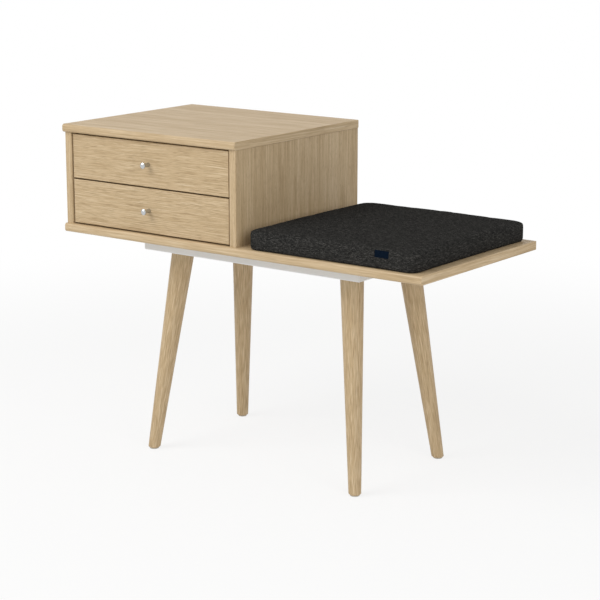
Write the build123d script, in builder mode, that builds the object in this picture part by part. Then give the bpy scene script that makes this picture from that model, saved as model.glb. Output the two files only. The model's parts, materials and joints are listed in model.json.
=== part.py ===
from build123d import *
import os
from math import asin, cos, radians, sin

os.makedirs("parts", exist_ok=True)

# Hall bench: a board carries a two-drawer cabinet at one end and a loose seat cushion at the other,
# and stands on a steel under-frame with four splayed legs. Millimetres. +X points to the seat end,
# -Y to the front and +Z up. The origin is on the floor, under the middle of the bench's box.

# Seat board
board_length = 850.0
board_depth = 400.0
board_thickness = 17.0
seat_height = 451.0  # floor to the board's top
front_round = 5.0  # rounded front edges of the board and of the cabinet top
arris = 0.8  # bevelled edges of the boards

# Cabinet
cabinet_length = 436.0
cabinet_height = 199.0  # above the seat board
top_thickness = 16.0
side_thickness = 16.0
top_end_overhang = 2.0
top_front_overhang = 6.0
back_thickness = 3.0
back_inset = 10.0  # rear edge of the cabinet to the back panel
back_groove_depth = 6.0
groove_slack = 0.2

# Drawers
drawer_gap = 3.0  # round each drawer front
drawer_recess = 2.0  # drawer fronts behind the cabinet sides' front edges
drawer_front_thickness = 16.0
drawer_side_thickness = 12.0
drawer_back_thickness = 12.0
drawer_bottom_thickness = 4.0
drawer_bottom_lift = 8.0  # lower edge of a drawer side to the bottom panel
bottom_groove_depth = 5.0
side_drop = 10.0  # upper edge of a drawer front to the drawer side
side_lift = 10.0  # lower edge of a drawer front to the drawer side
drawer_rear_room = 20.0  # drawer box to the back panel
drawer_side_gap = 2.0  # drawer side to cabinet side

# Wooden runners in grooves of the drawer sides
runner_height = 12.0
runner_groove_depth = 6.0
runner_rear_gap = 12.0
running_clearance = 0.3

# Knobs
knob_projection = 20.0
knob_head_diameter = 12.0
knob_base_diameter = 9.0
knob_neck_diameter = 7.0  # where the stem meets the head
knob_head_height = 6.0
knob_edge = 1.5  # plain edge between the head's underside and its dome
knob_dome = 2.5
knob_screw_diameter = 4.0
knob_screw_bite = 8.0
knob_screw_head_diameter = 8.0
knob_screw_head_height = 2.5

# Under-frame of square steel tube
frame_end_inset = 167.0  # ends of the board to the frame
frame_side_inset = 51.0  # front and rear edges of the board to the frame
tube_size = 25.0
tube_wall = 1.5
tube_round = 2.5
plate_size = 80.0
plate_thickness = 4.0
plate_chamfer = 30.0
frame_screw_diameter = 4.5
frame_screw_bite = 11.0
frame_screw_inset = 130.0  # from the ends of the long rails
frame_screw_head_diameter = 9.0
frame_screw_head_height = 3.0
frame_screw_access = 11.0  # hole under each head, in the tube's lower wall

# Legs
leg_top_diameter = 45.0
leg_foot_diameter = 24.0
leg_corner_gap = 7.0  # rail to the leg's top
leg_splay_x = 44.0  # how far a foot stands out from its leg's top
leg_splay_y = 49.0
leg_foot_bevel = 2.5
leg_bolt_diameter = 8.0
leg_bolt_depth = 40.0
leg_bolt_spare = 3.0  # thread past the nut
washer_diameter = 16.0
washer_thickness = 1.6
nut_across_flats = 13.0
nut_height = 6.5
glide_diameter = 18.0
glide_thickness = 2.0
glide_pin_diameter = 4.0
glide_pin_length = 12.0

# Dowels and wood screws
dowel_diameter = 8.0
dowel_length = 28.0
dowel_bite = 10.0  # into the board or the cabinet top
dowel_inset = 40.0  # from the front and rear of a cabinet side
drawer_dowel_diameter = 6.0
drawer_dowel_length = 22.0
drawer_dowel_bite = 7.0  # into a drawer front, and into a drawer side at the back
cabinet_screw_diameter = 5.0
cabinet_screw_length = 45.0
cabinet_screw_head_diameter = 10.0
cabinet_screw_inset = 95.0
runner_screw_diameter = 3.0
runner_screw_length = 18.0
runner_screw_head_diameter = 6.0
runner_screw_inset = 45.0
hole_clearance = 0.1  # on the radius of every hole that holds a dowel, bolt or screw
hole_spare = 0.5  # past the end of a dowel or screw

# Seat cushion
cushion_thickness = 38.0  # at the edges
cushion_crown = 2.0
cushion_cabinet_gap = 21.0  # cabinet side to the cushion
cushion_end_margin = 15.0  # cushion to the seat end of the board
cushion_side_margin = 2.0  # cushion to the front and rear edges of the board
cushion_corner = 22.0
cushion_roll = 7.0  # radius of the upper edge
cushion_tuck = 4.0  # radius of the lower edge
cushion_draw = 1.5  # how far each side pulls in between the corners
cushion_rest_gap = 0.3
label_length = 31.0
label_height = 13.5
label_thickness = 0.6
label_inset = 58.0  # seat end of the cushion to the label
label_lift = 20.5  # bottom of the cushion to the label

# Levels, from the floor up
board_bottom = seat_height - board_thickness
frame_bottom = board_bottom - tube_size
plate_top = frame_bottom + plate_thickness
top_underside = seat_height + cabinet_height - top_thickness

# Places from the front to the back; the knobs reach past the board's front edge
knob_reach = max(knob_projection - drawer_recess - top_front_overhang, 0)
front_edge = (knob_reach - board_depth) / 2
back_edge = front_edge + board_depth
middle = front_edge + board_depth / 2
cabinet_front = front_edge + top_front_overhang
drawer_face = cabinet_front + drawer_recess
drawer_box_front = drawer_face + drawer_front_thickness
back_panel_front = back_edge - back_inset - back_thickness
drawer_box_back = back_panel_front - drawer_rear_room
drawer_box_length = drawer_box_back - drawer_box_front

# Places from the cabinet end to the seat end
left_end = -board_length / 2
cabinet_left = left_end + top_end_overhang
cabinet_right = left_end + cabinet_length - top_end_overhang
opening_left = cabinet_left + side_thickness
opening_right = cabinet_right - side_thickness
drawer_middle = (opening_left + opening_right) / 2
cushion_left = cabinet_right + cushion_cabinet_gap
cushion_right = board_length / 2 - cushion_end_margin

# Outer sizes of the under-frame
frame_length = board_length - 2 * frame_end_inset
frame_depth = board_depth - 2 * frame_side_inset

# Drawer sizes
drawer_names = ("lower", "upper")
opening_height = top_underside - seat_height
drawer_front_height = (opening_height - (len(drawer_names) + 1) * drawer_gap) / len(drawer_names)
drawer_side_height = drawer_front_height - side_drop - side_lift
runner_groove_height = runner_height + 2 * running_clearance
runner_reach = drawer_side_gap + runner_groove_depth - running_clearance
runner_front = drawer_box_front + running_clearance
runner_back = back_panel_front - runner_rear_gap

upright = (Align.CENTER, Align.CENTER, Align.MIN)
hanging = (Align.CENTER, Align.CENTER, Align.MAX)


def save(piece, name):
    piece.part.label = name
    export_step(piece.part, f"parts/{name}.step")


def patch(x0, x1, y0, y1, mode=Mode.ADD):
    # A rectangle between two corners, in the open sketch
    with Locations(((x0 + x1) / 2, (y0 + y1) / 2)):
        Rectangle(abs(x1 - x0), abs(y1 - y0), mode=mode)


def rounded_front_section(z0, z1):
    # Left end of a full-depth board whose two front edges are rounded
    with BuildSketch(Plane.YZ.offset(left_end)) as section:
        patch(front_edge, back_edge, z0, z1)
        front_corners = section.vertices().group_by(Axis.X)[0]
        fillet(front_corners, radius=min(front_round, (z1 - z0) / 2 - arris))
    return section.sketch


def make_dowels(name, planes, diameter, length):
    # Each plane lies on one end of a dowel, and the dowel stands on it
    with BuildPart() as dowels:
        with Locations(*planes):
            Cylinder(diameter / 2, length, align=upright)
    save(dowels, name)


def make_flat_screws(name, planes, diameter, length, head_diameter):
    # Countersunk screws; each plane lies on a head and faces out of the wood
    sink = (head_diameter - diameter) / 2
    with BuildPart() as screws:
        with Locations(*planes):
            Cylinder(diameter / 2, length, align=hanging)
            Cone(diameter / 2, head_diameter / 2, sink, align=hanging)
    save(screws, name)


def make_pan_screws(name, planes, diameter, length, head_diameter, head_height):
    # Pan-head screws; each plane lies on the seat of a head and faces out of the seat
    with BuildPart() as screws:
        with Locations(*planes):
            Cylinder(diameter / 2, length, align=hanging)
            Cylinder(head_diameter / 2, head_height, align=upright)
        rims = screws.faces().filter_by(GeomType.PLANE).group_by(Face.area)[-1]
        tops = [face.outer_wire().edges() for face in rims]
        chamfer([edge for edges in tops for edge in edges], length=head_height / 3)
    save(screws, name)


# Where the cabinet sides are doweled and screwed to the board and doweled to the top
cabinet_side_middles = (cabinet_left + side_thickness / 2, cabinet_right - side_thickness / 2)
cabinet_dowel_rows = (cabinet_front + dowel_inset, back_edge - dowel_inset)
cabinet_screw_rows = (cabinet_front + cabinet_screw_inset, back_edge - cabinet_screw_inset)
cabinet_dowel_spots = [(x, y) for x in cabinet_side_middles for y in cabinet_dowel_rows]
cabinet_screw_spots = [(x, y) for x in cabinet_side_middles for y in cabinet_screw_rows]

# Where the under-frame's rails are screwed to the board
rail_x = frame_length / 2 - tube_size / 2
rail_y = frame_depth / 2 - tube_size / 2
frame_screw_x = frame_length / 2 - frame_screw_inset
frame_screw_spots = [(x, middle + y) for x in (-frame_screw_x, frame_screw_x) for y in (-rail_y, rail_y)]
frame_screw_spots += [(-rail_x, middle), (rail_x, middle)]

# Where the legs meet the frame's plates, and where they stand
leg_top_x = frame_length / 2 - tube_size - leg_corner_gap - leg_top_diameter / 2
leg_top_y = frame_depth / 2 - tube_size - leg_corner_gap - leg_top_diameter / 2
leg_corners = {
    "leg_front_left": (-1, -1),
    "leg_front_right": (1, -1),
    "leg_rear_left": (-1, 1),
    "leg_rear_right": (1, 1),
}
leg_tops = [(sx * leg_top_x, middle + sy * leg_top_y) for sx, sy in leg_corners.values()]
leg_foot_x = leg_top_x + leg_splay_x
leg_foot_y = leg_top_y + leg_splay_y
leg_feet = [(sx * leg_foot_x, middle + sy * leg_foot_y) for sx, sy in leg_corners.values()]

# Seat board, drilled from above for dowels and from below for screws
with BuildPart() as board:
    extrude(rounded_front_section(board_bottom, seat_height), amount=board_length)
    end_faces = board.faces().filter_by(Axis.X)
    back_edges = board.faces().sort_by(Axis.Y)[-1].edges().filter_by(Axis.X)
    chamfer(end_faces.edges() + back_edges, length=arris)
    with Locations(*[(x, y, seat_height) for x, y in cabinet_dowel_spots]):
        Hole(dowel_diameter / 2 + hole_clearance, depth=dowel_bite + hole_spare)
    with Locations(*[Plane((x, y, board_bottom), z_dir=(0, 0, -1)) for x, y in frame_screw_spots]):
        Hole(frame_screw_diameter / 2 + hole_clearance, depth=frame_screw_bite + hole_spare)
    with Locations(*[Plane((x, y, board_bottom), z_dir=(0, 0, -1)) for x, y in cabinet_screw_spots]):
        CounterSinkHole(
            cabinet_screw_diameter / 2 + hole_clearance,
            cabinet_screw_head_diameter / 2 + hole_clearance,
            counter_sink_angle=90,
        )
save(board, "seat_board")

# Under-frame: four mitred rails of square tube, welded, with a plate in each inner corner
frame_front = middle - frame_depth / 2
frame_back = middle + frame_depth / 2
frame_rails = {
    "frame_front_rail": ((-frame_length / 2, frame_front), (1, 0), (0, 1), frame_length),
    "frame_rear_rail": ((frame_length / 2, frame_back), (-1, 0), (0, -1), frame_length),
    "frame_left_rail": ((-frame_length / 2, frame_back), (0, -1), (1, 0), frame_depth),
    "frame_right_rail": ((frame_length / 2, frame_front), (0, 1), (-1, 0), frame_depth),
}
for name, (corner, run, inward, length) in frame_rails.items():
    start = Vector(*corner, frame_bottom + tube_size / 2)
    along = Vector(*run, 0)
    inside = Vector(*inward, 0)
    with BuildPart() as rail:
        with BuildSketch(Plane(start + inside * (tube_size / 2), x_dir=inside, z_dir=along)):
            RectangleRounded(tube_size, tube_size, tube_round)
            bore = tube_size - 2 * tube_wall
            Rectangle(bore, bore, mode=Mode.SUBTRACT)
        extrude(amount=length)
        split(bisect_by=Plane(start, z_dir=along - inside), keep=Keep.TOP)
        split(bisect_by=Plane(start + along * length, z_dir=-along - inside), keep=Keep.TOP)
        box = rail.part.bounding_box()
        for x, y in frame_screw_spots:
            if box.min.X < x < box.max.X and box.min.Y < y < box.max.Y:
                with Locations(Plane((x, y, frame_bottom), z_dir=(0, 0, -1))):
                    CounterBoreHole(
                        frame_screw_diameter / 2 + hole_clearance,
                        frame_screw_access / 2,
                        tube_size - tube_wall,
                    )
    save(rail, name)

with BuildPart() as plates:
    with BuildSketch(Plane.XY.offset(frame_bottom)) as plate_outline:
        for sx, sy in leg_corners.values():
            corner_x = sx * (frame_length / 2 - tube_size)
            corner_y = middle + sy * (frame_depth / 2 - tube_size)
            patch(corner_x, corner_x - sx * plate_size, corner_y, corner_y - sy * plate_size)
        inner_corners = plate_outline.vertices().sort_by_distance((0, middle))[: len(leg_corners)]
        chamfer(inner_corners, length=plate_chamfer)
        with Locations(*leg_tops):
            Circle(leg_bolt_diameter / 2 + hole_clearance, mode=Mode.SUBTRACT)
    extrude(amount=plate_thickness)
save(plates, "frame_leg_plates")

# Frame screws: each head is inside its tube, on the upper wall
frame_screw_seat = board_bottom - tube_wall
make_pan_screws(
    "frame_screws",
    [Plane((x, y, frame_screw_seat), z_dir=(0, 0, -1)) for x, y in frame_screw_spots],
    frame_screw_diameter,
    tube_wall + frame_screw_bite,
    frame_screw_head_diameter,
    frame_screw_head_height,
)

# Legs: tapered round legs, leaning outwards, cut level at the plate and at the glide
for name, top, foot in zip(leg_corners, leg_tops, leg_feet):
    top_point = Vector(*top, frame_bottom)
    foot_point = Vector(*foot, glide_thickness)
    lean = (top_point - foot_point).normalized()
    length = (top_point - foot_point).length
    overrun = leg_top_diameter / 2
    taper = (leg_top_diameter - leg_foot_diameter) / 2 / length
    with BuildPart() as leg:
        with Locations(Plane(foot_point - lean * overrun, z_dir=lean)):
            Cone(
                leg_foot_diameter / 2 - taper * overrun,
                leg_top_diameter / 2 + taper * overrun,
                length + 2 * overrun,
                align=upright,
            )
        split(bisect_by=Plane.XY.offset(glide_thickness), keep=Keep.TOP)
        split(bisect_by=Plane.XY.offset(frame_bottom), keep=Keep.BOTTOM)
        chamfer(leg.faces().sort_by(Axis.Z)[0].edges(), length=leg_foot_bevel)
        with Locations(top_point):
            Hole(leg_bolt_diameter / 2 + hole_clearance, depth=leg_bolt_depth + hole_spare)
        with Locations(foot_point):
            Hole(glide_pin_diameter / 2 + hole_clearance, depth=glide_pin_length + hole_spare)
    save(leg, name)

# Hanger bolts, washers and nuts that hold the legs, and a glide under each foot
nut_bottom = plate_top + washer_thickness
make_dowels(
    "leg_bolts",
    [Plane((x, y, frame_bottom - leg_bolt_depth)) for x, y in leg_tops],
    leg_bolt_diameter,
    leg_bolt_depth + plate_thickness + washer_thickness + nut_height + leg_bolt_spare,
)

with BuildPart() as washers:
    with BuildSketch(Plane.XY.offset(plate_top)):
        with Locations(*leg_tops):
            Circle(washer_diameter / 2)
            Circle(leg_bolt_diameter / 2 + hole_clearance, mode=Mode.SUBTRACT)
    extrude(amount=washer_thickness)
save(washers, "leg_washers")

with BuildPart() as nuts:
    with BuildSketch(Plane.XY.offset(nut_bottom)):
        with Locations(*leg_tops):
            RegularPolygon(nut_across_flats / 2, side_count=6, major_radius=False)
            Circle(leg_bolt_diameter / 2 + hole_clearance, mode=Mode.SUBTRACT)
    extrude(amount=nut_height)
save(nuts, "leg_nuts")

with BuildPart() as glides:
    with Locations(*leg_feet):
        Cylinder(glide_diameter / 2, glide_thickness, align=upright)
        Cylinder(glide_pin_diameter / 2, glide_thickness + glide_pin_length, align=upright)
    chamfer(glides.edges().group_by(Axis.Z)[0], length=glide_thickness / 3)
save(glides, "foot_glides")

# Drawer places: lower edge of each drawer front, and the middle height of its runners
drawer_levels = {}
runner_levels = {}
for index, name in enumerate(drawer_names):
    drawer_levels[name] = seat_height + drawer_gap + index * (drawer_front_height + drawer_gap)
    runner_levels[name] = drawer_levels[name] + side_lift + drawer_side_height / 2
runner_screw_rows = (runner_front + runner_screw_inset, runner_back - runner_screw_inset)
runner_screw_spots = [(y, z) for y in runner_screw_rows for z in runner_levels.values()]
runner_screw_pilot = runner_screw_length - runner_reach
cabinet_screw_pilot = cabinet_screw_length - board_thickness

# Cabinet sides, grooved for the back panel; facing is +1 where the inner face looks to the seat end
cabinet_sides = {"cabinet_side_left": (cabinet_left, 1), "cabinet_side_right": (cabinet_right, -1)}
for (name, (outer, facing)), x in zip(cabinet_sides.items(), cabinet_side_middles):
    inner = outer + facing * side_thickness
    with BuildPart() as side:
        with BuildSketch(Plane.XY.offset(seat_height)):
            patch(outer, inner, cabinet_front, back_edge)
            patch(
                inner - facing * back_groove_depth,
                inner,
                back_panel_front - groove_slack,
                back_panel_front + back_thickness + groove_slack,
                mode=Mode.SUBTRACT,
            )
        extrude(amount=opening_height)
        front_face = side.faces().sort_by(Axis.Y)[0]
        fillet(front_face.edges().filter_by(Axis.Z), radius=2 * arris)
        for y in cabinet_dowel_rows:
            with Locations((x, y, seat_height), (x, y, top_underside)):
                Hole(dowel_diameter / 2 + hole_clearance, depth=dowel_length - dowel_bite + hole_spare)
        with Locations(*[(x, y, seat_height) for y in cabinet_screw_rows]):
            Hole(cabinet_screw_diameter / 2 + hole_clearance, depth=cabinet_screw_pilot + hole_spare)
        with Locations(*[Plane((inner, y, z), z_dir=(facing, 0, 0)) for y, z in runner_screw_spots]):
            Hole(runner_screw_diameter / 2 + hole_clearance, depth=runner_screw_pilot + hole_spare)
    save(side, name)

# Cabinet top, with a stopped groove for the back panel
with BuildPart() as top:
    extrude(rounded_front_section(top_underside, seat_height + cabinet_height), amount=cabinet_length)
    end_faces = top.faces().filter_by(Axis.X)
    back_edges = top.faces().sort_by(Axis.Y)[-1].edges().filter_by(Axis.X)
    chamfer(end_faces.edges() + back_edges, length=arris)
    with BuildSketch(Plane.XY.offset(top_underside)):
        patch(
            opening_left - back_groove_depth,
            opening_right + back_groove_depth,
            back_panel_front - groove_slack,
            back_panel_front + back_thickness + groove_slack,
        )
    extrude(amount=back_groove_depth, mode=Mode.SUBTRACT)
    with Locations(*[(x, y, top_underside) for x, y in cabinet_dowel_spots]):
        Hole(dowel_diameter / 2 + hole_clearance, depth=dowel_bite + hole_spare)
save(top, "cabinet_top")

with BuildPart() as back:
    with BuildSketch(Plane.XZ.offset(-back_panel_front)):
        tongue = back_groove_depth - hole_spare
        patch(opening_left - tongue, opening_right + tongue, seat_height, top_underside + tongue)
    extrude(amount=-back_thickness)
save(back, "cabinet_back")

dowel_levels = (seat_height - dowel_bite, top_underside + dowel_bite - dowel_length)
make_dowels(
    "cabinet_dowels",
    [Plane((x, y, z)) for x, y in cabinet_dowel_spots for z in dowel_levels],
    dowel_diameter,
    dowel_length,
)
make_flat_screws(
    "cabinet_screws",
    [Plane((x, y, board_bottom), z_dir=(0, 0, -1)) for x, y in cabinet_screw_spots],
    cabinet_screw_diameter,
    cabinet_screw_length,
    cabinet_screw_head_diameter,
)

# Runners: hardwood strips screwed to the cabinet sides
runner_screw_planes = []
for drawer, level in runner_levels.items():
    for hand, wall, facing in (("left", opening_left, 1), ("right", opening_right, -1)):
        inner = wall + facing * runner_reach
        with BuildPart() as runner:
            with BuildSketch(Plane.XZ.offset(-runner_front)):
                patch(wall, inner, level - runner_height / 2, level + runner_height / 2)
            extrude(amount=-(runner_back - runner_front))
            inner_face = runner.faces().sort_by(Axis.X)[-1 if facing > 0 else 0]
            chamfer(inner_face.edges().filter_by(Axis.Z), length=1.5 * arris)
            heads = [Plane((inner, y, level), z_dir=(facing, 0, 0)) for y in runner_screw_rows]
            with Locations(*heads):
                CounterSinkHole(
                    runner_screw_diameter / 2 + hole_clearance,
                    runner_screw_head_diameter / 2 + hole_clearance,
                    depth=2 * runner_reach,
                    counter_sink_angle=90,
                )
        save(runner, f"{drawer}_runner_{hand}")
        runner_screw_planes += heads
make_flat_screws(
    "runner_screws",
    runner_screw_planes,
    runner_screw_diameter,
    runner_screw_length,
    runner_screw_head_diameter,
)


def make_drawer(drawer):
    level = drawer_levels[drawer]
    box_bottom = level + side_lift
    box_top = box_bottom + drawer_side_height
    bottom_low = box_bottom + drawer_bottom_lift
    bottom_high = bottom_low + drawer_bottom_thickness
    groove_low = runner_levels[drawer] - runner_groove_height / 2
    groove_high = runner_levels[drawer] + runner_groove_height / 2
    dowel_heights = ((bottom_high + groove_low) / 2, (groove_high + box_top) / 2)
    knob_height = level + drawer_front_height / 2
    tongue = bottom_groove_depth - hole_spare
    outer_left = opening_left + drawer_side_gap
    outer_right = opening_right - drawer_side_gap
    hands = {"left": (outer_left, 1), "right": (outer_right, -1)}
    inner_left = outer_left + drawer_side_thickness
    inner_right = outer_right - drawer_side_thickness
    dowel_radius = drawer_dowel_diameter / 2 + hole_clearance
    front_dowels = []
    back_dowels = []
    back_middle = drawer_box_back - drawer_back_thickness / 2
    for outer, facing in hands.values():
        for z in dowel_heights:
            front_dowels.append((outer + facing * drawer_side_thickness / 2, drawer_box_front, z))
            back_dowels.append(((outer + facing * drawer_side_thickness, back_middle, z), facing))

    # Front, grooved behind for the bottom panel and drilled for the knob
    with BuildPart() as front:
        with BuildSketch(Plane.XZ.offset(-drawer_face)):
            patch(opening_left + drawer_gap, opening_right - drawer_gap, level, level + drawer_front_height)
        extrude(amount=-drawer_front_thickness)
        chamfer(front.faces().sort_by(Axis.Y)[0].edges(), length=arris)
        with BuildSketch(Plane.XZ.offset(-drawer_box_front)):
            patch(
                inner_left - bottom_groove_depth,
                inner_right + bottom_groove_depth,
                bottom_low - groove_slack,
                bottom_high + groove_slack,
            )
        extrude(amount=bottom_groove_depth, mode=Mode.SUBTRACT)
        with Locations(*[Plane(spot, z_dir=(0, 1, 0)) for spot in front_dowels]):
            Hole(dowel_radius, depth=drawer_dowel_bite + hole_spare)
        with Locations(Plane((drawer_middle, drawer_face, knob_height), z_dir=(0, -1, 0))):
            Hole(knob_screw_diameter / 2 + hole_clearance)
    save(front, f"{drawer}_drawer_front")

    # Sides, grooved outside for the runners and inside for the bottom panel
    for hand, (outer, facing) in hands.items():
        inner = outer + facing * drawer_side_thickness
        with BuildPart() as side:
            with BuildSketch(Plane.XZ.offset(-drawer_box_front)):
                patch(outer, inner, box_bottom, box_top)
                patch(
                    outer,
                    outer + facing * runner_groove_depth,
                    groove_low,
                    groove_high,
                    mode=Mode.SUBTRACT,
                )
                patch(
                    inner - facing * bottom_groove_depth,
                    inner,
                    bottom_low - groove_slack,
                    bottom_high + groove_slack,
                    mode=Mode.SUBTRACT,
                )
            extrude(amount=-drawer_box_length)
            top_face = side.faces().sort_by(Axis.Z)[-1]
            fillet(top_face.edges().filter_by(Axis.Y), radius=2 * arris)
            with Locations(*[Plane(spot, z_dir=(0, -1, 0)) for spot in front_dowels]):
                Hole(dowel_radius, depth=drawer_dowel_length - drawer_dowel_bite + hole_spare)
            with Locations(*[Plane(spot, z_dir=(way, 0, 0)) for spot, way in back_dowels if way == facing]):
                Hole(dowel_radius, depth=drawer_dowel_bite + hole_spare)
        save(side, f"{drawer}_drawer_side_{hand}")

    # Back, between the sides, standing on the bottom panel
    with BuildPart() as back_board:
        with BuildSketch(Plane.XZ.offset(-drawer_box_back)):
            patch(inner_left, inner_right, bottom_high, box_top)
        extrude(amount=drawer_back_thickness)
        fillet(back_board.faces().sort_by(Axis.Z)[-1].edges().filter_by(Axis.X), radius=2 * arris)
        with Locations(*[Plane(spot, z_dir=(way, 0, 0)) for spot, way in back_dowels]):
            Hole(dowel_radius, depth=drawer_dowel_length - drawer_dowel_bite + hole_spare)
    save(back_board, f"{drawer}_drawer_back")

    # Bottom panel, slid in from behind
    with BuildPart() as bottom:
        with BuildSketch(Plane.XY.offset(bottom_low)):
            patch(inner_left - tongue, inner_right + tongue, drawer_box_front - tongue, drawer_box_back)
        extrude(amount=drawer_bottom_thickness)
    save(bottom, f"{drawer}_drawer_bottom")

    dowel_ends = []
    for x, y, z in front_dowels:
        dowel_ends.append(Plane((x, y - drawer_dowel_bite, z), z_dir=(0, 1, 0)))
    for (x, y, z), way in back_dowels:
        dowel_ends.append(Plane((x - way * drawer_dowel_bite, y, z), z_dir=(way, 0, 0)))
    make_dowels(f"{drawer}_drawer_dowels", dowel_ends, drawer_dowel_diameter, drawer_dowel_length)

    # Knob, turned about its own axis, with a tapered stem and a domed head
    knob_seat = Vector(drawer_middle, drawer_face, knob_height)
    bore = knob_screw_diameter / 2 + hole_clearance
    bore_depth = knob_screw_bite + hole_spare
    base = knob_base_diameter / 2
    neck = knob_neck_diameter / 2
    head = knob_head_diameter / 2
    neck_length = knob_projection - knob_head_height
    dome_start = knob_projection - knob_dome
    dome_radius = (head**2 + knob_dome**2) / (2 * knob_dome)
    dome_half = asin(head / dome_radius) / 2
    with BuildPart() as knob:
        with BuildSketch(Plane(knob_seat, x_dir=(0, -1, 0), z_dir=(1, 0, 0))):
            with BuildLine():
                Polyline((bore_depth, 0), (bore_depth, bore), (0, bore), (0, base))
                Polyline((0, base), (neck_length, neck), (dome_start - knob_edge, head), (dome_start, head))
                ThreePointArc(
                    (dome_start, head),
                    (knob_projection - dome_radius * (1 - cos(dome_half)), dome_radius * sin(dome_half)),
                    (knob_projection, 0),
                )
                Line((knob_projection, 0), (bore_depth, 0))
            make_face()
        revolve(axis=Axis(knob_seat, (0, -1, 0)))
    save(knob, f"{drawer}_knob")

    make_pan_screws(
        f"{drawer}_knob_screw",
        [Plane((drawer_middle, drawer_box_front, knob_height), z_dir=(0, 1, 0))],
        knob_screw_diameter,
        drawer_front_thickness + knob_screw_bite,
        knob_screw_head_diameter,
        knob_screw_head_height,
    )


for drawer in drawer_names:
    make_drawer(drawer)

# Seat cushion: level outlines whose sides pull in between the corners, stacked up a rolled edge,
# and a shallow dome cut over them as the crown
cushion_middle_x = (cushion_left + cushion_right) / 2
cushion_front = front_edge + cushion_side_margin
cushion_bottom = seat_height + cushion_rest_gap
cushion_edge = cushion_bottom + cushion_thickness
half_length = (cushion_right - cushion_left) / 2
half_depth = middle - cushion_front


def cushion_outline(height, inset):
    x = half_length - inset
    y = half_depth - inset
    with BuildSketch(Plane((cushion_middle_x, middle, height))) as outline:
        with BuildLine():
            ThreePointArc((-x, -y), (0, cushion_draw - y), (x, -y))
            ThreePointArc((x, -y), (x - cushion_draw, 0), (x, y))
            ThreePointArc((x, y), (0, y - cushion_draw), (-x, y))
            ThreePointArc((-x, y), (cushion_draw - x, 0), (-x, -y))
        make_face()
        fillet(outline.vertices(), radius=cushion_corner - inset)
    return outline.sketch


tuck_angles = (90, 45, 0)
roll_angles = (0, 30, 60, 90)
outlines = []
for angle in tuck_angles:
    rise = 1 - sin(radians(angle))
    inset = 1 - cos(radians(angle))
    outlines.append(cushion_outline(cushion_bottom + cushion_tuck * rise, cushion_tuck * inset))
for angle in roll_angles:
    drop = 1 - sin(radians(angle))
    inset = 1 - cos(radians(angle))
    outlines.append(cushion_outline(cushion_edge - cushion_roll * drop, cushion_roll * inset))
outlines.append(cushion_outline(cushion_edge + 2 * cushion_crown, cushion_roll))
crown_reach = min(half_length, half_depth) - 2 * cushion_roll
crown_radius = (crown_reach**2 + cushion_crown**2) / (2 * cushion_crown)
with BuildPart() as cushion:
    loft(outlines, ruled=True)
    with Locations((cushion_middle_x, middle, cushion_edge + cushion_crown - crown_radius)):
        Sphere(crown_radius, mode=Mode.INTERSECT)
save(cushion, "seat_cushion")

# Bare woven label on the cushion's front, laid against the drawn-in side at its outer end
label_right = cushion_right - label_inset
label_share = (label_right - cushion_middle_x) / half_length
label_back = cushion_front + cushion_draw * (1 - label_share**2)
label_bottom = cushion_bottom + label_lift
with BuildPart() as label:
    with BuildSketch(Plane.XZ.offset(-label_back)):
        patch(label_right - label_length, label_right, label_bottom, label_bottom + label_height)
    extrude(amount=label_thickness)
save(label, "cushion_label")
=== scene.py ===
import json
import math

import bmesh
import bpy
import numpy as np
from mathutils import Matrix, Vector
from mathutils.bvhtree import BVHTree


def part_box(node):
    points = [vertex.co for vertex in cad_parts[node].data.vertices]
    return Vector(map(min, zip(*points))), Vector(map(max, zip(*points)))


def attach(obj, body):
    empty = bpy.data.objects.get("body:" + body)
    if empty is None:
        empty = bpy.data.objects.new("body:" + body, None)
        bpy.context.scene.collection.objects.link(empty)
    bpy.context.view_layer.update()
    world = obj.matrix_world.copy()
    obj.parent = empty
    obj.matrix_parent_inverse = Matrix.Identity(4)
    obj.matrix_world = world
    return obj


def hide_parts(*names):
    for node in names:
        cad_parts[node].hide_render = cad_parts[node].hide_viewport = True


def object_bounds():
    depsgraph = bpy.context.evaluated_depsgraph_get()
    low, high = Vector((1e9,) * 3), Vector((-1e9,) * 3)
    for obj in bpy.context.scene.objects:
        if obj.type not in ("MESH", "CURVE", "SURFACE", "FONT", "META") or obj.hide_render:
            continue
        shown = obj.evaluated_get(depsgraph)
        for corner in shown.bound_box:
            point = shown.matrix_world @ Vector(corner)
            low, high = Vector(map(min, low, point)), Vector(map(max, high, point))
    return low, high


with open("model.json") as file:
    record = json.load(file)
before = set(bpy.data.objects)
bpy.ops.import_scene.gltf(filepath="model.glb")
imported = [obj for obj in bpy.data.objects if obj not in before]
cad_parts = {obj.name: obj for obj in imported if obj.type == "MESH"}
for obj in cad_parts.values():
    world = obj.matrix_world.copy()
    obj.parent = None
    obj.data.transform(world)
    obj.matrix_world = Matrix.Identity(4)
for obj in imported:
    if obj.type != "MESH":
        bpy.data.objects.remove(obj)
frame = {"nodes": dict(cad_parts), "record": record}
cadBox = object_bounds()
nodes = frame["nodes"]
scene = bpy.context.scene
mm = 0.001
white = (1, 1, 1, 1)
print("frame loaded:", len(nodes), "nodes")


def hexColour(text):
    # sRGB hex to the linear colour that a shader takes
    srgb = np.array([int(text[i:i + 2], 16) for i in (1, 3, 5)]) / 255
    linear = np.where(srgb <= 0.04045, srgb / 12.92, ((srgb + 0.055) / 1.055) ** 2.4)
    return (*linear.tolist(), 1.0)


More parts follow.
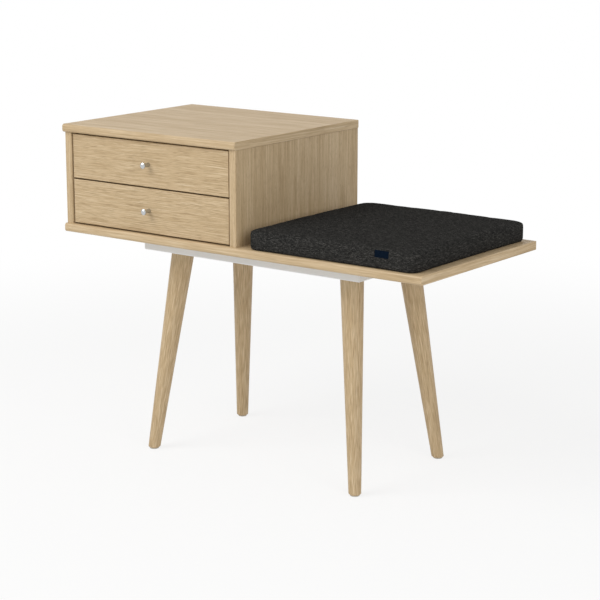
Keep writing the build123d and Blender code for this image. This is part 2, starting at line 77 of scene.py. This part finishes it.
def addNode(tree, kind, sockets=None, stops=None, **settings):
    # one node: settings are its properties, sockets take a value or another node's output
    node = tree.nodes.new("ShaderNode" + kind)
    for name, value in settings.items():
        setattr(node, name, value)
    for name, value in (sockets or {}).items():
        if isinstance(value, bpy.types.NodeSocket):
            tree.links.new(value, node.inputs[name])
        else:
            node.inputs[name].default_value = value
    if stops:
        ramp = node.color_ramp.elements
        while len(ramp) < len(stops):
            ramp.new(0.5)
        for element, (place, colour) in zip(ramp, stops):
            element.position = place
            element.color = hexColour(colour)
    return node


def startMaterial(name):
    # an empty node material with its main shader wired to the output
    material = bpy.data.materials.new(name)
    material.use_nodes = True
    tree = material.node_tree
    tree.nodes.clear()
    shader = addNode(tree, "BsdfPrincipled")
    addNode(tree, "OutputMaterial", {"Surface": shader.outputs[0]})
    return material, tree, shader


def meshPoints(mesh):
    # one row of x, y and z per point
    points = np.empty(len(mesh.vertices) * 3)
    mesh.vertices.foreach_get("co", points)
    return points.reshape(-1, 3)


# Wood: sliced veneer or turned solid wood under matt lacquer. Long bands of early and late growth,
# fine streaks and short dark pores, all drawn out along the grain. Pores are really 0.3 mm wide and
# are drawn wider so that they show.
# band, streak and dash are length along the grain and width across it in mm, then noise detail; mix is
# the tone's share of band and of streak; wave is the length, width and height of the grain's wandering
# in mm; leaf is a veneer leaf's width in mm and how far its tone may differ.
oakColours = ((0.2, "#98805c"), (0.42, "#b89f7a"), (0.58, "#c9b18d"), (0.8, "#dcc9a9"))
woods = {
    "oakTop": {
        "colours": oakColours, "pore": "#8f7858", "poreDepth": 0.22,
        "band": (1100, 20, 3), "streak": (110, 2.4, 2), "dash": (32, 2.2, 1),
        "mix": (0.3, 0.7), "wave": (260, 140, 10), "roughness": (0.44, 0.58), "relief": 0.12,
    },
    "oakFront": {
        "colours": oakColours, "pore": "#826945", "poreDepth": 0.52,
        "band": (700, 18, 3), "streak": (75, 0.95, 2), "dash": (24, 0.85, 1),
        "mix": (0.15, 1.15), "wave": (170, 180, 4), "roughness": (0.44, 0.6), "relief": 0.2,
    },
    "oakSide": {
        "colours": oakColours, "pore": "#87704e", "poreDepth": 0.42, "leaf": (46, 0.03),
        "band": (1600, 9, 3), "streak": (110, 1.2, 2), "dash": (12, 1.0, 1),
        "mix": (0.35, 0.9), "wave": (260, 180, 6), "roughness": (0.44, 0.6), "relief": 0.2,
    },
    "oakLeg": {
        "colours": oakColours, "pore": "#866f4d", "poreDepth": 0.42,
        "band": (700, 9, 3), "streak": (120, 1.0, 2), "dash": (30, 0.95, 1),
        "mix": (0.15, 1.25), "wave": (260, 140, 1.0), "roughness": (0.42, 0.56), "relief": 0.2,
    },
    "birch": {
        "colours": ((0.25, "#cdb384"), (0.5, "#dcc69c"), (0.8, "#e6d4b0")),
        "pore": "#b39a6d", "poreDepth": 0.18,
        "band": (700, 18, 3), "streak": (160, 3.0, 2), "dash": (24, 1.4, 1),
        "mix": (0.5, 0.3), "wave": (300, 60, 12), "roughness": (0.5, 0.62), "relief": 0.1,
    },
    "beech": {
        "colours": ((0.25, "#b28a62"), (0.5, "#c69e74"), (0.8, "#d4b08a")),
        "pore": "#8a6440", "poreDepth": 0.4,
        "band": (500, 9, 3), "streak": (90, 1.8, 2), "dash": (5, 0.9, 1),
        "mix": (0.5, 0.4), "wave": (300, 60, 5), "roughness": (0.45, 0.58), "relief": 0.15,
    },
}
# what all woods share: dash noise at which a pore begins and is full, tones between which the gloss
# rises, noise details, depth of the relief in mm, and how squarely an edge faces X to be banded
woodSurface = {
    "poreRange": (0.54, 0.7), "glossTones": (0.35, 0.65), "waveDetail": 2.0, "noiseRoughness": 0.6,
    "reliefDepth": 0.4, "specular": 0.35, "bandedFacing": 0.6,
}
grainTurns = {"x": (0, 0, 0), "y": (0, 0, -90), "z": (0, 90, 0)}  # degrees that bring the grain to local X


def woodGrain(name, kind, turn, endTurn=None):
    # noise in a space where X follows the grain and is stretched; edges that face along X may have
    # their own turn, as edge banding has
    look = woods[kind]
    material, tree, shader = startMaterial(name)
    place = addNode(tree, "TexCoord").outputs["Object"]
    turned = [
        addNode(tree, "Mapping", {
            "Vector": place, "Rotation": [math.radians(a) for a in angles], "Scale": [1 / mm] * 3,
        }).outputs[0]
        for angles in (turn, endTurn) if angles
    ]
    grain = turned[0]
    if endTurn:
        normal = addNode(tree, "NewGeometry").outputs["Normal"]
        facing = addNode(tree, "SeparateXYZ", {0: normal}).outputs[0]
        facing = addNode(tree, "Math", {0: facing}, operation="ABSOLUTE").outputs[0]
        banded = addNode(tree, "Math", {
            0: facing, 1: woodSurface["bandedFacing"],
        }, operation="GREATER_THAN").outputs[0]
        grain = addNode(tree, "Mix", {0: banded, 4: grain, 5: turned[1]}, data_type="VECTOR").outputs[1]

    # the grain wanders sideways by the wave's height
    length, width, height = look["wave"]
    slow = addNode(tree, "VectorMath", {
        0: grain, 1: (1 / length, 1 / width, 1 / width),
    }, operation="MULTIPLY").outputs[0]
    sway = addNode(tree, "TexNoise", {
        "Vector": slow, "Scale": 1.0, "Detail": woodSurface["waveDetail"],
    }).outputs[0]
    sway = addNode(tree, "Math", {0: sway, 1: height, 2: -height / 2}, operation="MULTIPLY_ADD").outputs[0]
    aside = addNode(tree, "CombineXYZ", {1: sway, 2: sway}).outputs[0]
    grain = addNode(tree, "VectorMath", {0: grain, 1: aside}, operation="ADD").outputs[0]

    fields = {}
    for layer in ("band", "streak", "dash"):
        length, width, detail = look[layer]
        drawn = addNode(tree, "VectorMath", {
            0: grain, 1: (1 / length, 1 / width, 1 / width),
        }, operation="MULTIPLY").outputs[0]
        fields[layer] = addNode(tree, "TexNoise", {
            "Vector": drawn, "Scale": 1.0, "Detail": detail, "Roughness": woodSurface["noiseRoughness"],
        }).outputs[0]

    # tone: band and streak by their shares, kept round one half
    bandShare, streakShare = look["mix"]
    tone = (1 - bandShare - streakShare) / 2
    for layer, share in (("band", bandShare), ("streak", streakShare)):
        tone = addNode(tree, "Math", {
            0: fields[layer], 1: share, 2: tone,
        }, operation="MULTIPLY_ADD").outputs[0]
    if "leaf" in look:
        # veneer leaves side by side, each a little lighter or darker
        width, share = look["leaf"]
        across = addNode(tree, "SeparateXYZ", {0: grain}).outputs[1]
        leaf = addNode(tree, "Math", {0: across, 1: 1 / width}, operation="MULTIPLY").outputs[0]
        leaf = addNode(tree, "Math", {0: leaf}, operation="FLOOR").outputs[0]
        leaf = addNode(tree, "TexWhiteNoise", {"W": leaf}, noise_dimensions="1D").outputs[0]
        leaf = addNode(tree, "Math", {0: leaf, 1: 2 * share, 2: -share}, operation="MULTIPLY_ADD").outputs[0]
        tone = addNode(tree, "Math", {0: tone, 1: leaf}, operation="ADD").outputs[0]

    begins, full = woodSurface["poreRange"]
    pores = addNode(tree, "MapRange", {
        "Value": fields["dash"], "From Min": begins, "From Max": full, "To Max": look["poreDepth"],
    }).outputs[0]
    colour = addNode(tree, "ValToRGB", {"Fac": tone}, stops=look["colours"]).outputs[0]
    colour = addNode(tree, "Mix", {
        0: pores, 6: colour, 7: hexColour(look["pore"]),
    }, data_type="RGBA").outputs[2]
    smooth, rough = look["roughness"]
    dull, bright = woodSurface["glossTones"]
    gloss = addNode(tree, "MapRange", {
        "Value": tone, "From Min": dull, "From Max": bright, "To Min": rough, "To Max": smooth,
    }).outputs[0]
    height = addNode(tree, "Math", {0: tone, 1: pores}, operation="SUBTRACT").outputs[0]
    relief = addNode(tree, "Bump", {
        "Strength": look["relief"], "Distance": woodSurface["reliefDepth"] * mm, "Height": height,
    }).outputs[0]
    tree.links.new(colour, shader.inputs["Base Color"])
    tree.links.new(gloss, shader.inputs["Roughness"])
    tree.links.new(relief, shader.inputs["Normal"])
    shader.inputs["Specular IOR Level"].default_value = woodSurface["specular"]
    return material


# Powder-coated steel: sprayed and baked, pale, with a fine orange-peel skin and a hardly seen drift of
# shade. peel and drift are size in mm and noise detail, relief is strength and depth in mm.
paint = {
    "colour": "#f1f1f0", "shade": "#e9eaea", "peel": (1.6, 2), "drift": (60, 3),
    "roughness": 0.42, "relief": (0.12, 0.1),
}


def paintedSteel():
    material, tree, shader = startMaterial("powder-coated steel")
    place = addNode(tree, "TexCoord").outputs["Object"]
    skin, drift = [
        addNode(tree, "TexNoise", {"Vector": place, "Scale": 1 / (size * mm), "Detail": detail}).outputs[0]
        for size, detail in (paint["peel"], paint["drift"])
    ]
    colour = addNode(tree, "Mix", {
        0: drift, 6: hexColour(paint["shade"]), 7: hexColour(paint["colour"]),
    }, data_type="RGBA").outputs[2]
    strength, depth = paint["relief"]
    relief = addNode(tree, "Bump", {
        "Strength": strength, "Distance": depth * mm, "Height": skin,
    }).outputs[0]
    tree.links.new(colour, shader.inputs["Base Color"])
    tree.links.new(relief, shader.inputs["Normal"])
    shader.inputs["Roughness"].default_value = paint["roughness"]
    return material


# Metals: zinc-plated fasteners are grey and a little blotched, chromed knobs mirror-bright with faint
# smears. blotch is size in mm and noise detail.
metals = {
    "zincSteel": {
        "name": "zinc-plated steel", "pale": "#c3c6c8", "dark": "#a3a6a8",
        "blotch": (3, 4), "roughness": (0.28, 0.45),
    },
    "chrome": {
        "name": "polished chrome", "pale": "#c8cacb", "dark": "#bcbec0",
        "blotch": (6, 4), "roughness": (0.05, 0.12),
    },
}


def metal(kind):
    look = metals[kind]
    material, tree, shader = startMaterial(look["name"])
    place = addNode(tree, "TexCoord").outputs["Object"]
    size, detail = look["blotch"]
    blotch = addNode(tree, "TexNoise", {
        "Vector": place, "Scale": 1 / (size * mm), "Detail": detail,
    }).outputs[0]
    colour = addNode(tree, "Mix", {
        0: blotch, 6: hexColour(look["dark"]), 7: hexColour(look["pale"]),
    }, data_type="RGBA").outputs[2]
    smooth, rough = look["roughness"]
    gloss = addNode(tree, "MapRange", {"Value": blotch, "To Min": smooth, "To Max": rough}).outputs[0]
    tree.links.new(colour, shader.inputs["Base Color"])
    tree.links.new(gloss, shader.inputs["Roughness"])
    shader.inputs["Metallic"].default_value = 1.0
    return material


# Moulded nylon of the glides: matt, with a fine mould grain. grit is size in mm and noise detail,
# relief is strength and depth in mm.
glide = {
    "pale": "#cbc7bd", "dark": "#bdb9b0", "grit": (0.8, 2), "roughness": 0.6, "relief": (0.2, 0.1),
}


def mouldedNylon():
    material, tree, shader = startMaterial("moulded nylon")
    place = addNode(tree, "TexCoord").outputs["Object"]
    size, detail = glide["grit"]
    grit = addNode(tree, "TexNoise", {
        "Vector": place, "Scale": 1 / (size * mm), "Detail": detail,
    }).outputs[0]
    colour = addNode(tree, "Mix", {
        0: grit, 6: hexColour(glide["dark"]), 7: hexColour(glide["pale"]),
    }, data_type="RGBA").outputs[2]
    strength, depth = glide["relief"]
    relief = addNode(tree, "Bump", {
        "Strength": strength, "Distance": depth * mm, "Height": grit,
    }).outputs[0]
    tree.links.new(colour, shader.inputs["Base Color"])
    tree.links.new(relief, shader.inputs["Normal"])
    shader.inputs["Roughness"].default_value = glide["roughness"]
    return material


# Woven wool mix of the cushion: plain weave of melange yarn. Each thread is its own grey and drifts
# along its length, so the eye sees small grey flecks on charcoal. Threads of such cloth are about 1 mm
# apart and are drawn a little wider so that they show.
# thread is their spacing and slubs how long a thread keeps its grey, up and along, in mm; relief is
# strength and depth in mm; hollow is painted shade between threads: the height below which the cloth's
# colour is darkened, and what is left of it at the bottom; threadStep and threadStart keep the noise of
# neighbouring threads apart.
weave = {
    "thread": 1.3, "slubs": (1.8, 9.0), "relief": (0.5, 0.4), "hollowShade": (0.6, 0.55),
    "colours": ((0.26, "#161616"), (0.43, "#252524"), (0.58, "#3e3d3b"), (0.75, "#686663")),
    "yarnDetail": 2.0, "threadStep": 5.37, "threadStart": (0.0, 53.0),
    "roughness": 1.0, "specular": 0.0, "sheen": 0.002, "sheenRoughness": 0.5,
}
# Woven label of the cushion: dense navy yarn, finer than the cover's and nearly even to the eye
labelWeave = {
    **weave, "thread": 0.55, "slubs": (3.0, 3.0), "relief": (0.35, 0.4), "sheen": 0.01,
    "colours": ((0.25, "#070e18"), (0.5, "#0c1725"), (0.75, "#172434")),
}


def wovenWool(name, look):
    # threads run along U and V of the piece's own map, which is in metres; over and under change as on
    # a chequer board, and each thread is a half round
    material, tree, shader = startMaterial(name)
    uv = addNode(tree, "UVMap", uv_map="cloth").outputs[0]
    perThread = 1 / (look["thread"] * mm)
    grid = addNode(tree, "VectorMath", {0: uv, "Scale": perThread}, operation="SCALE").outputs[0]
    over = addNode(tree, "TexChecker", {"Vector": grid, "Scale": 1.0}).outputs[1]
    split = addNode(tree, "SeparateXYZ", {0: grid}).outputs
    tones = []
    humps = []
    for across, along in ((0, 1), (1, 0)):
        thread = addNode(tree, "Math", {0: split[across]}, operation="FLOOR").outputs[0]
        thread = addNode(tree, "Math", {
            0: thread, 1: look["threadStep"], 2: look["threadStart"][across],
        }, operation="MULTIPLY_ADD").outputs[0]
        length = addNode(tree, "Math", {
            0: split[along], 1: look["thread"] / look["slubs"][across],
        }, operation="MULTIPLY").outputs[0]
        spot = addNode(tree, "CombineXYZ", {0: thread, 1: length}).outputs[0]
        tones.append(addNode(tree, "TexNoise", {
            "Vector": spot, "Scale": 1.0, "Detail": look["yarnDetail"],
        }).outputs[0])
        hump = addNode(tree, "Math", {0: split[across], 1: math.pi}, operation="MULTIPLY").outputs[0]
        hump = addNode(tree, "Math", {0: hump}, operation="SINE").outputs[0]
        humps.append(addNode(tree, "Math", {0: hump}, operation="ABSOLUTE").outputs[0])
    tone = addNode(tree, "Mix", {0: over, 2: tones[0], 3: tones[1]}).outputs[0]
    hump = addNode(tree, "Mix", {0: over, 2: humps[0], 3: humps[1]}).outputs[0]
    yarn = addNode(tree, "ValToRGB", {"Fac": tone}, stops=look["colours"]).outputs[0]
    # painted shade: the yarn's colour is darkened low between the threads' half rounds, where shade falls
    rim, left = look["hollowShade"]
    hollowShade = addNode(tree, "MapRange", {"Value": hump, "From Max": rim, "To Min": left}).outputs[0]
    cloth = addNode(tree, "VectorMath", {0: yarn, "Scale": hollowShade}, operation="SCALE").outputs[0]
    strength, depth = look["relief"]
    relief = addNode(tree, "Bump", {
        "Strength": strength, "Distance": depth * mm, "Height": hump,
    }).outputs[0]
    tree.links.new(cloth, shader.inputs["Base Color"])
    tree.links.new(relief, shader.inputs["Normal"])
    shader.inputs["Roughness"].default_value = look["roughness"]
    shader.inputs["Specular IOR Level"].default_value = look["specular"]
    shader.inputs["Sheen Weight"].default_value = look["sheen"]
    shader.inputs["Sheen Roughness"].default_value = look["sheenRoughness"]
    return material


# Every CAD node takes the finish of its slot, and wood also by the way its grain runs
legNames = ("leg_front_left", "leg_front_right", "leg_rear_left", "leg_rear_right")
finishes = {
    "flat": woodGrain("oak veneer, flat panels", "oakTop", grainTurns["x"], grainTurns["y"]),
    "front": woodGrain("oak veneer, drawer fronts", "oakFront", grainTurns["x"], grainTurns["z"]),
    "upright": woodGrain("oak veneer, upright panels", "oakSide", grainTurns["z"]),
    "drawer_birch": woodGrain("birch", "birch", grainTurns["y"]),
    "birchAcross": woodGrain("birch, grain across", "birch", grainTurns["x"]),
    "beech": woodGrain("beech", "beech", grainTurns["y"]),
    "white_steel": paintedSteel(),
    "zinc_steel": metal("zincSteel"),
    "chrome": metal("chrome"),
    "glide_plastic": mouldedNylon(),
}
levelCut = 0.1 * mm  # points this near a leg's lowest or highest one lie in its level end
for leg in legNames:
    # the grain follows the axis from the middle of the foot's cut to the middle of the plate's
    points = meshPoints(nodes[leg].data)
    heights = points[:, 2]
    cuts = [points[np.abs(heights - level) < levelCut] for level in (heights.min(), heights.max())]
    foot, head = [Vector((cut.min(0) + cut.max(0)) / 2) for cut in cuts]
    turn = (head - foot).rotation_difference(Vector((1, 0, 0))).to_euler()
    legName = "oak, turned leg " + leg[4:].replace("_", " ")
    finishes[leg] = woodGrain(legName, "oakLeg", [math.degrees(a) for a in turn])
slotOf = {part["node"]: part["material_slot"] for part in frame["record"]["subparts"]}


def finishOf(node):
    slot = slotOf[node]
    if node in legNames:
        return finishes[node]
    if slot == "oak":
        if node.endswith("drawer_front"):
            return finishes["front"]
        return finishes["flat" if node in ("seat_board", "cabinet_top") else "upright"]
    if slot == "back_board":
        return finishes["upright"]
    if node.endswith("drawer_back"):
        return finishes["birchAcross"]
    return finishes.get(slot, finishes["drawer_birch"])


for name, node in nodes.items():
    for slot in node.material_slots:
        slot.material = finishOf(name)
print("finishes set:", len(finishes))

# Seat cushion: foam in a woven cover. All lengths in mm: grid of the remesh, how far the form is drawn
# in before it swells, how far a point may move, how deep the base is pressed; merge joins loose corners.
cushion = {
    "voxel": 4.0, "inset": 0.8, "cap": 2.2, "press": 2.2, "merge": 0.01,
    "pressure": 4.0, "frames": 20, "subdivisions": 1,
}


def cushionForm():
    # the CAD solid drawn in a little, remeshed to an even grid, then blown up as cloth
    low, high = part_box("seat_cushion")
    mesh = nodes["seat_cushion"].data.copy()
    shell = bmesh.new()
    shell.from_mesh(mesh)
    bmesh.ops.remove_doubles(shell, verts=shell.verts, dist=cushion["merge"] * mm)
    shell.to_mesh(mesh)
    shell.free()
    middle = np.array((low + high) / 2)
    half = np.array((high - low) / 2)
    points = middle + (meshPoints(mesh) - middle) * (1 - cushion["inset"] * mm / half)
    mesh.vertices.foreach_set("co", points.ravel())
    piece = bpy.data.objects.new("cushion_cover", mesh)
    scene.collection.objects.link(piece)
    remesh = piece.modifiers.new("even grid", "REMESH")
    remesh.mode = "VOXEL"
    remesh.voxel_size = cushion["voxel"] * mm
    start = bakeMesh(piece)
    swell(piece, start)
    smooth = piece.modifiers.new("smooth", "SUBSURF")
    smooth.levels = smooth.render_levels = cushion["subdivisions"]
    points = bakeMesh(piece)
    # its own weight presses the base flat: heights sink by the press at the board, by nothing at the top
    height = (points[:, 2] - low.z) / (high.z - low.z)
    sunk = points[:, 2] - cushion["press"] * mm * np.clip(1 - height, 0, 1)
    points[:, 2] = np.maximum(sunk, low.z)
    piece.data.vertices.foreach_set("co", points.ravel())
    piece.data.polygons.foreach_set("use_smooth", np.ones(len(piece.data.polygons), bool))
    piece.data.update()
    return piece


def bakeMesh(piece):
    # puts what the modifiers make into the piece's own mesh and returns its points
    bpy.context.view_layer.update()
    graph = bpy.context.evaluated_depsgraph_get()
    made = bpy.data.meshes.new_from_object(piece.evaluated_get(graph))
    piece.modifiers.clear()
    piece.data = made
    return meshPoints(made)


def swell(piece, start):
    # cloth under pressure; a point keeps its way but its move m becomes cap * tanh(m / cap)
    cloth = piece.modifiers.new("cloth", "CLOTH")
    cloth.settings.use_pressure = True
    cloth.settings.uniform_pressure_force = cushion["pressure"]
    cloth.settings.effector_weights.gravity = 0
    for frameNumber in range(1, cushion["frames"] + 1):
        scene.frame_set(frameNumber)
    swollen = bakeMesh(piece)
    scene.frame_set(1)
    move = swollen - start
    reach = np.linalg.norm(move, axis=1, keepdims=True)
    cap = cushion["cap"] * mm
    move *= cap * np.tanh(reach / cap) / np.maximum(reach, 1e-9)
    piece.data.vertices.foreach_set("co", (start + move).ravel())


def mapCloth(mesh):
    # cloth map in metres: each face takes the two directions that it lies along
    corners = np.empty(len(mesh.loops), np.int32)
    mesh.loops.foreach_get("vertex_index", corners)
    normals = np.empty(len(mesh.polygons) * 3)
    mesh.polygons.foreach_get("normal", normals)
    sizes = np.empty(len(mesh.polygons), np.int32)
    mesh.polygons.foreach_get("loop_total", sizes)
    facing = np.repeat(np.abs(normals.reshape(-1, 3)).argmax(1), sizes)
    along = np.array([[1, 2], [0, 2], [0, 1]])[facing]
    uv = np.take_along_axis(meshPoints(mesh)[corners], along, 1)
    mesh.uv_layers.new(name="cloth").data.foreach_set("uv", uv.ravel())


cover = cushionForm()
mapCloth(cover.data)
cover.data.materials.clear()
cover.data.materials.append(wovenWool("woven wool mix", weave))
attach(cover, "cushion")
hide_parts("seat_cushion")
print("cushion made:", len(cover.data.polygons), "faces")

# Plain woven label, sewn flat to the cushion's front. All lengths in mm, except the grid's steps; rays
# to the cloth start clear of it.
label = {
    "lift": 0.5, "sink": 0.4, "rim": 1.2, "thickness": 0.4, "clear": 50.0, "steps": (62, 22),
}


def labelPatch():
    # a grid over the label's rectangle laid on the cover; its height is the lift, falling in a quarter
    # round to below the cloth within the rim
    low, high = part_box("cushion_label")
    across, up = label["steps"]
    xs = np.linspace(low.x, high.x, across + 1)
    zs = np.linspace(low.z, high.z, up + 1)
    gridX, gridZ = np.meshgrid(xs, zs)
    tree = BVHTree.FromObject(cover, bpy.context.evaluated_depsgraph_get())
    start = low.y - label["clear"] * mm
    inwards = Vector((0, 1, 0))
    hits = [tree.ray_cast(Vector((x, start, z)), inwards)[0].y for x, z in zip(gridX.flat, gridZ.flat)]
    cloth = np.array(hits).reshape(gridX.shape)
    edge = np.minimum.reduce([gridX - low.x, high.x - gridX, gridZ - low.z, high.z - gridZ])
    inward = np.clip(edge / (label["rim"] * mm), 0, 1)
    rise = (label["lift"] + label["sink"]) * mm
    height = rise * np.sqrt(1 - (1 - inward) ** 2) - label["sink"] * mm
    points = np.stack([gridX, cloth - height, gridZ], -1).reshape(-1, 3)
    columns = across + 1
    corner = (np.arange(up)[:, None] * columns + np.arange(across)[None, :]).ravel()
    faces = np.stack([corner, corner + 1, corner + 1 + columns, corner + columns], 1)
    mesh = bpy.data.meshes.new("cushion_label_cloth")
    mesh.from_pydata(points.tolist(), [], faces.tolist())
    mesh.polygons.foreach_set("use_smooth", np.ones(len(mesh.polygons), bool))
    piece = bpy.data.objects.new("cushion_label_cloth", mesh)
    scene.collection.objects.link(piece)
    wall = piece.modifiers.new("thickness", "SOLIDIFY")
    wall.thickness = label["thickness"] * mm
    wall.offset = -1
    bakeMesh(piece)
    return piece


patch = labelPatch()
mapCloth(patch.data)
patch.data.materials.append(wovenWool("woven label", labelWeave))
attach(patch, "cushion")
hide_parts("cushion_label")
print("label laid")

# Studio: matt white floor that keeps the shadow and fades to white surroundings, a large soft key light
# before the drawers' end and a weaker fill light at the seat's end. Lengths in metres.
studio = {
    "floorSize": 30.0, "floor": "#f2f2f1", "floorRoughness": 0.9, "floorGlow": 0.8,
    "fadeFrom": 0.9, "fadeTo": 2.2, "sky": 0.5,
    "keyPlace": (-1.65, -2.75, 3.18), "keySize": 2.6, "keyPower": 91.0,
    "fillPlace": (3.2, -1.6, 1.6), "fillSize": 2.0, "fillPower": 36.0,
}


def seenDirectly(tree):
    # 1 for what the camera, a mirror or glass sees
    light = addNode(tree, "LightPath")
    seen = light.outputs["Is Camera Ray"]
    for ray in ("Is Glossy Ray", "Is Transmission Ray"):
        seen = addNode(tree, "Math", {0: seen, 1: light.outputs[ray]}, operation="MAXIMUM").outputs[0]
    return seen


def layFloor():
    reach = studio["floorSize"] / 2
    mesh = bpy.data.meshes.new("studio_floor")
    corners = [(-reach, -reach, 0), (reach, -reach, 0), (reach, reach, 0), (-reach, reach, 0)]
    mesh.from_pydata(corners, [], [(0, 1, 2, 3)])
    floor = bpy.data.objects.new("studio_floor", mesh)
    scene.collection.objects.link(floor)
    material, tree, shader = startMaterial("matt studio floor")
    shader.inputs["Base Color"].default_value = hexColour(studio["floor"])
    shader.inputs["Roughness"].default_value = studio["floorRoughness"]
    shader.inputs["Specular IOR Level"].default_value = 0.0
    place = addNode(tree, "TexCoord").outputs["Object"]
    far = addNode(tree, "VectorMath", {0: place}, operation="LENGTH").outputs["Value"]
    fade = addNode(tree, "MapRange", {
        "Value": far, "From Min": studio["fadeFrom"], "From Max": studio["fadeTo"],
        "To Min": studio["floorGlow"],
    }, interpolation_type="SMOOTHSTEP").outputs[0]
    fade = addNode(tree, "Math", {0: fade, 1: seenDirectly(tree)}, operation="MULTIPLY").outputs[0]
    glow = addNode(tree, "Emission", {"Color": white, "Strength": 1.0}).outputs[0]
    shown = addNode(tree, "MixShader", {0: fade, 1: shader.outputs[0], 2: glow}).outputs[0]
    output = next(n for n in tree.nodes if n.type == "OUTPUT_MATERIAL")
    tree.links.new(shown, output.inputs["Surface"])
    mesh.materials.append(material)


def lightStudio():
    world = bpy.data.worlds.new("white studio")
    scene.world = world
    world.use_nodes = True
    tree = world.node_tree
    tree.nodes.clear()
    strength = addNode(tree, "MapRange", {
        "Value": seenDirectly(tree), "To Min": studio["sky"], "To Max": 1.0,
    }).outputs[0]
    sky = addNode(tree, "Background", {"Color": white, "Strength": strength}).outputs[0]
    addNode(tree, "OutputWorld", {"Surface": sky})
    aim = (cadBox[0] + cadBox[1]) / 2
    for lamp in ("key", "fill"):
        data = bpy.data.lights.new(lamp + "_light", "AREA")
        data.shape = "SQUARE"
        data.size = studio[lamp + "Size"]
        data.energy = studio[lamp + "Power"]
        light = bpy.data.objects.new(lamp + "_light", data)
        light.location = studio[lamp + "Place"]
        light.rotation_euler = (aim - light.location).to_track_quat("-Z", "Y").to_euler()
        scene.collection.objects.link(light)


# Camera at the photograph's viewing angle: from before the seat's end, looking down on the bench.
# Place and clipEnd in metres, angles in degrees, lens and sensor in mm.
viewpoint = {
    "place": (2.1434, -2.8544, 1.1371), "yaw": 36.68, "pitch": 12.966,
    "lens": 111.84, "sensor": 36, "clipEnd": 100,
}


def setCamera():
    data = bpy.data.cameras.new("camera")
    data.lens = viewpoint["lens"]
    data.sensor_width = viewpoint["sensor"]
    data.clip_end = viewpoint["clipEnd"]
    camera = bpy.data.objects.new("camera", data)
    camera.location = viewpoint["place"]
    camera.rotation_euler = (math.radians(90 - viewpoint["pitch"]), 0, math.radians(viewpoint["yaw"]))
    scene.collection.objects.link(camera)
    scene.camera = camera


layFloor()
lightStudio()
setCamera()
scene.view_settings.view_transform = "Standard"
print("studio set")
